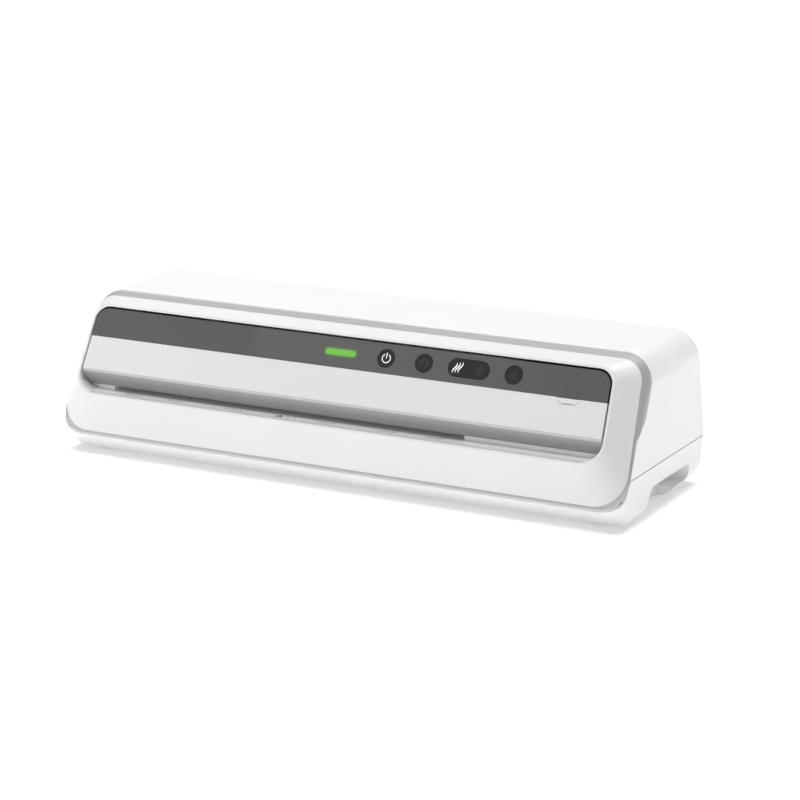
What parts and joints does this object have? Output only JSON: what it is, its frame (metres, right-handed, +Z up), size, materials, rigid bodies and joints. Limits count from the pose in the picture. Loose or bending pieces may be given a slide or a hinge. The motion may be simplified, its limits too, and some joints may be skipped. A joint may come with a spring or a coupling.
{
  "type": "pouch laminator",
  "caption": "Desktop pouch laminator with a leaning framed front, a control strip with keys, a pouch slot, heated rollers, a gear train and a rear exit slot.",
  "frame": {"origin": "on the resting surface, under the middle of the outer box", "axes": "+X to the right of the person who feeds a pouch, +Y to the back, +Z up"},
  "size_m": [0.5424, 0.1796, 0.135],
  "materials": {
    "case_white": "fine satin moulding",
    "tray_white": "fine satin moulding",
    "frame_white": "smooth gloss moulding",
    "accent_grey": "silver-grey satin moulding",
    "strip_dark": "smoked gloss overlay",
    "key_dark": "dark gloss keys with pale printed marks",
    "panel_grey": "pale grey satin moulding",
    "guide_grey": "mid grey moulding",
    "tab_grey": "grey moulding",
    "ready_light": "lit green light guide",
    "circuit_board": "green soldermask",
    "component_black": "moulded electronic parts",
    "standoff_nylon": "natural nylon",
    "inlet_black": "black moulding",
    "pin_brass": "plated contact pins",
    "foot_rubber": "grey rubber",
    "screw_steel": "zinc plated",
    "plate_steel": "zinc-coated sheet",
    "shaft_steel": "ground steel",
    "bush_bronze": "sintered bronze and brass",
    "block_nylon": "glass-filled nylon",
    "spring_steel": "spring wire",
    "motor_steel": "plated steel can",
    "gear_nylon": "natural acetal",
    "shoe_aluminium": "extruded aluminium",
    "roller_silicone": "red-brown silicone",
    "lead_red": "insulated wire",
    "lead_black": "insulated wire"
  },
  "bodies": {
    "case": {"base_tray": "tray_white", "top_cover": "case_white", "front_bezel": "frame_white", "accent_trim": "accent_grey", "control_strip": "strip_dark", "entry_panel": "panel_grey", "pouch_guide_lower": "guide_grey", "light_bar": "ready_light", "control_board": "circuit_board", "tact_switches": "component_black", "power_board": "circuit_board", "power_board_parts": "component_black", "board_standoffs": "standoff_nylon", "power_inlet": "inlet_black", "inlet_pins": "pin_brass", "rubber_feet": "foot_rubber", "case_screws": "screw_steel", "exit_frame": "guide_grey", "side_plate_left": "plate_steel", "side_plate_right": "plate_steel", "lower_bushes": "bush_bronze", "front_springs": "spring_steel", "rear_springs": "spring_steel", "front_spring_beam": "plate_steel", "rear_spring_beam": "plate_steel", "tie_bars": "shaft_steel", "gear_stub_axles": "shaft_steel", "gear_motor": "motor_steel", "motor_bracket": "plate_steel", "heat_shoe_upper": "shoe_aluminium", "heat_shoe_lower": "shoe_aluminium", "middle_guide_upper": "plate_steel", "middle_guide_lower": "plate_steel", "thermal_sensors": "component_black", "heat_shield": "plate_steel", "pouch_sensor": "component_black", "mains_lead": "lead_red", "motor_lead": "lead_black"},
    "front_lower_roller": {"front_lower_core": "shaft_steel", "front_lower_sleeve": "roller_silicone", "front_lower_gear": "gear_nylon"},
    "front_upper_roller": {"front_upper_core": "shaft_steel", "front_upper_sleeve": "roller_silicone", "front_upper_gear": "gear_nylon"},
    "rear_lower_roller": {"rear_lower_core": "shaft_steel", "rear_lower_sleeve": "roller_silicone", "rear_lower_gear": "gear_nylon"},
    "rear_upper_roller": {"rear_upper_core": "shaft_steel", "rear_upper_sleeve": "roller_silicone", "rear_upper_gear": "gear_nylon"},
    "front_blocks": {"front_bearing_blocks": "block_nylon"},
    "rear_blocks": {"rear_bearing_blocks": "block_nylon"},
    "idler": {"idler_gear": "gear_nylon"},
    "reduction": {"reduction_gear": "gear_nylon"},
    "pinion": {"motor_pinion": "bush_bronze"},
    "power_key": {"key_power": "key_dark"},
    "reverse_key": {"key_reverse": "key_dark"},
    "release_key": {"key_release": "key_dark"},
    "hot_cold_key": {"key_hot_cold": "key_dark"},
    "tab": {"latch_tab": "tab_grey"}
  },
  "joints": [
    {"name": "front_lower_spin", "type": "hinge", "parent": "case", "child": "front_lower_roller", "pos_m": [0.142, -0.01842, 0.0458], "axis": [1, 0, 0], "continuous": true},
    {"name": "front_float", "type": "slide", "parent": "case", "child": "front_blocks", "axis": [0, 0, 1], "range_m": [0, 0.001], "stiffness_N_per_m": 8000, "springref_m": -0.002, "deforming": ["front_springs"]},
    {"name": "front_upper_spin", "type": "hinge", "parent": "front_blocks", "child": "front_upper_roller", "pos_m": [0.142, -0.01842, 0.0742], "axis": [1, 0, 0], "continuous": true},
    {"name": "rear_lower_spin", "type": "hinge", "parent": "case", "child": "rear_lower_roller", "pos_m": [0.142, 0.03759, 0.0458], "axis": [1, 0, 0], "continuous": true},
    {"name": "rear_float", "type": "slide", "parent": "case", "child": "rear_blocks", "axis": [0, 0, 1], "range_m": [0, 0.001], "stiffness_N_per_m": 8000, "springref_m": -0.002, "deforming": ["rear_springs"]},
    {"name": "rear_upper_spin", "type": "hinge", "parent": "rear_blocks", "child": "rear_upper_roller", "pos_m": [0.142, 0.03759, 0.0742], "axis": [1, 0, 0], "continuous": true},
    {"name": "idler_spin", "type": "hinge", "parent": "case", "child": "idler", "pos_m": [0.142, 0.00958, 0.04105], "axis": [1, 0, 0], "continuous": true},
    {"name": "reduction_spin", "type": "hinge", "parent": "case", "child": "reduction", "pos_m": [0.142, 0.00958, 0.06519], "axis": [1, 0, 0], "continuous": true},
    {"name": "pinion_spin", "type": "hinge", "parent": "case", "child": "pinion", "pos_m": [0.142, 0.03149, 0.0913], "axis": [1, 0, 0], "continuous": true},
    {"name": "power_press", "type": "slide", "parent": "case", "child": "power_key", "axis": [0, 0.8886, -0.4586], "range_m": [0, 0.0008], "stiffness_N_per_m": 1200, "springref_m": -0.0005},
    {"name": "reverse_press", "type": "slide", "parent": "case", "child": "reverse_key", "axis": [0, 0.8886, -0.4586], "range_m": [0, 0.0008], "stiffness_N_per_m": 1200, "springref_m": -0.0005},
    {"name": "release_press", "type": "slide", "parent": "case", "child": "release_key", "axis": [0, 0.8886, -0.4586], "range_m": [0, 0.0008], "stiffness_N_per_m": 1200, "springref_m": -0.0005},
    {"name": "hot_cold_press", "type": "slide", "parent": "case", "child": "hot_cold_key", "axis": [0, 0.8886, -0.4586], "range_m": [0, 0.0008], "stiffness_N_per_m": 1200, "springref_m": -0.0005},
    {"name": "tab_press", "type": "slide", "parent": "case", "child": "tab", "axis": [0, 0.8886, -0.4586], "range_m": [0, 0.001], "stiffness_N_per_m": 800, "springref_m": -0.0008}
  ],
  "couplings": [
    {"joint": "front_upper_spin", "follows": "front_lower_spin", "ratio": -1},
    {"joint": "idler_spin", "follows": "front_lower_spin", "ratio": -1},
    {"joint": "rear_lower_spin", "follows": "front_lower_spin", "ratio": 1},
    {"joint": "rear_upper_spin", "follows": "front_lower_spin", "ratio": -1},
    {"joint": "reduction_spin", "follows": "front_lower_spin", "ratio": 1.4286},
    {"joint": "pinion_spin", "follows": "front_lower_spin", "ratio": -4.2857}
  ]
}
